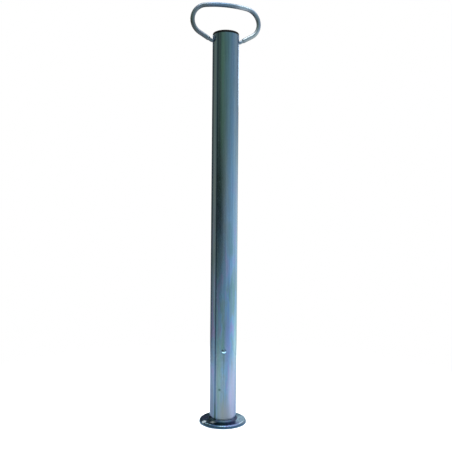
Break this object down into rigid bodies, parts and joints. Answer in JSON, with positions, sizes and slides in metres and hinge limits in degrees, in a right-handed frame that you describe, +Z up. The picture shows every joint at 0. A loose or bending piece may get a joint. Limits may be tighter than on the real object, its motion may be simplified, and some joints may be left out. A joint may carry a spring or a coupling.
{
  "type": "prop stand",
  "caption": "Trailer prop stand: a plated steel tube on a welded dished foot, with a plastic end cap and a swinging wire bail handle.",
  "frame": {"origin": "on the floor at the centre of the foot, on the tube's axis", "axes": "+Z up along the tube; X along the axis that the bail turns on; Y square to both, with the stop stud on the -Y side"},
  "size_m": [0.131, 0.085, 0.756],
  "materials": {
    "zinc_tube": "blue passivated zinc plate, satin, with drawing lines and cloudy staining",
    "zinc_foot": "blue passivated zinc plate, glossy, on pressed sheet",
    "weld_bead": "plated weld bead, rippled",
    "zinc_stud": "blue passivated zinc plate, glossy, on a turned rivet",
    "black_plastic": "moulded, fine grain",
    "zinc_wire": "blue passivated zinc plate on drawn wire, satin"
  },
  "bodies": {
    "stand": {"stand_tube": "zinc_tube", "foot_plate": "zinc_foot", "foot_weld": "weld_bead", "stop_stud": "zinc_stud", "end_cap": "black_plastic"},
    "bail": {"bail_handle": "zinc_wire"}
  },
  "joints": [
    {"name": "bail_swing", "type": "hinge", "parent": "stand", "child": "bail", "pos_m": [0, 0, 0.686], "axis": [1, 0, 0], "range_deg": [-154, 154]}
  ]
}
